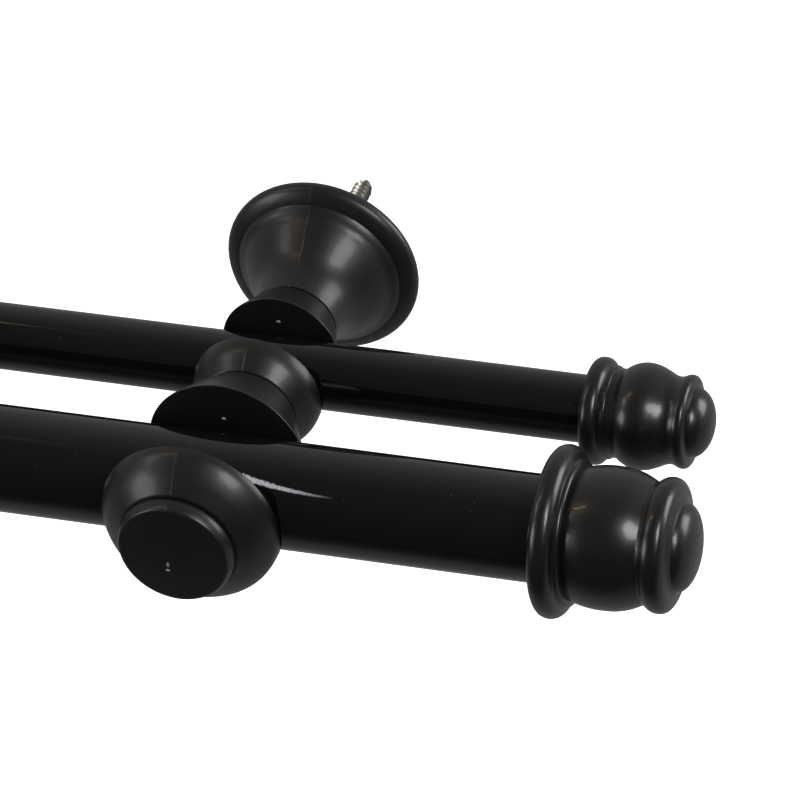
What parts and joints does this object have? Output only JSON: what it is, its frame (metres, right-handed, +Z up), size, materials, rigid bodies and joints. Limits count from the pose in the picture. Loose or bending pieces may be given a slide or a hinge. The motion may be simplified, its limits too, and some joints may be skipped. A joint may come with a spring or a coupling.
{
  "type": "double curtain rod with brackets",
  "caption": "Double curtain rod: a thick front tube and a thin rear tube in open cups on turned wall brackets, with ball finials.",
  "frame": {"origin": "on the wall, at the centre of the right bracket's back face, on the axis of its wall bolt", "axes": "+X along the rods towards the right-hand finials, +Y into the wall, +Z up"},
  "size_m": [1.2714, 0.1463, 0.0476],
  "materials": {
    "rod_lacquer": "gloss black stoving lacquer on steel tube",
    "bracket_plastic": "satin black injection moulding with a fine parting line",
    "finial_plastic": "satin-gloss black",
    "plug_nylon": "natural grey nylon, hidden in the tube",
    "zinc_steel": "zinc plated, slightly warm"
  },
  "bodies": {
    "brackets": {"right_base": "bracket_plastic", "right_rear_holder": "bracket_plastic", "right_front_holder": "bracket_plastic", "right_end_button": "bracket_plastic", "right_hanger_bolt": "zinc_steel", "right_base_insert": "zinc_steel", "right_neck_stud": "zinc_steel", "right_middle_stud": "zinc_steel", "right_end_stud": "zinc_steel", "left_base": "bracket_plastic", "left_rear_holder": "bracket_plastic", "left_front_holder": "bracket_plastic", "left_end_button": "bracket_plastic", "left_hanger_bolt": "zinc_steel", "left_base_insert": "zinc_steel", "left_neck_stud": "zinc_steel", "left_middle_stud": "zinc_steel", "left_end_stud": "zinc_steel"},
    "front_rod": {"front_rod_tube": "rod_lacquer"},
    "rear_rod": {"rear_rod_tube": "rod_lacquer"},
    "front_finial_right": {"front_finial_right": "finial_plastic", "front_finial_plug_right": "plug_nylon"},
    "front_finial_left": {"front_finial_left": "finial_plastic", "front_finial_plug_left": "plug_nylon"},
    "rear_finial_right": {"rear_finial_right": "finial_plastic", "rear_finial_plug_right": "plug_nylon"},
    "rear_finial_left": {"rear_finial_left": "finial_plastic", "rear_finial_plug_left": "plug_nylon"}
  },
  "joints": [
    {"name": "front_rod_lift", "type": "slide", "parent": "brackets", "child": "front_rod", "axis": [0, 0, 1], "range_m": [0, 0.045]},
    {"name": "rear_rod_lift", "type": "slide", "parent": "brackets", "child": "rear_rod", "axis": [0, 0, 1], "range_m": [0, 0.035]},
    {"name": "front_finial_right_pull", "type": "slide", "parent": "front_rod", "child": "front_finial_right", "axis": [1, 0, 0], "range_m": [0, 0.026]},
    {"name": "front_finial_left_pull", "type": "slide", "parent": "front_rod", "child": "front_finial_left", "axis": [-1, 0, 0], "range_m": [0, 0.026]},
    {"name": "rear_finial_right_pull", "type": "slide", "parent": "rear_rod", "child": "rear_finial_right", "axis": [1, 0, 0], "range_m": [0, 0.026]},
    {"name": "rear_finial_left_pull", "type": "slide", "parent": "rear_rod", "child": "rear_finial_left", "axis": [-1, 0, 0], "range_m": [0, 0.026]}
  ]
}
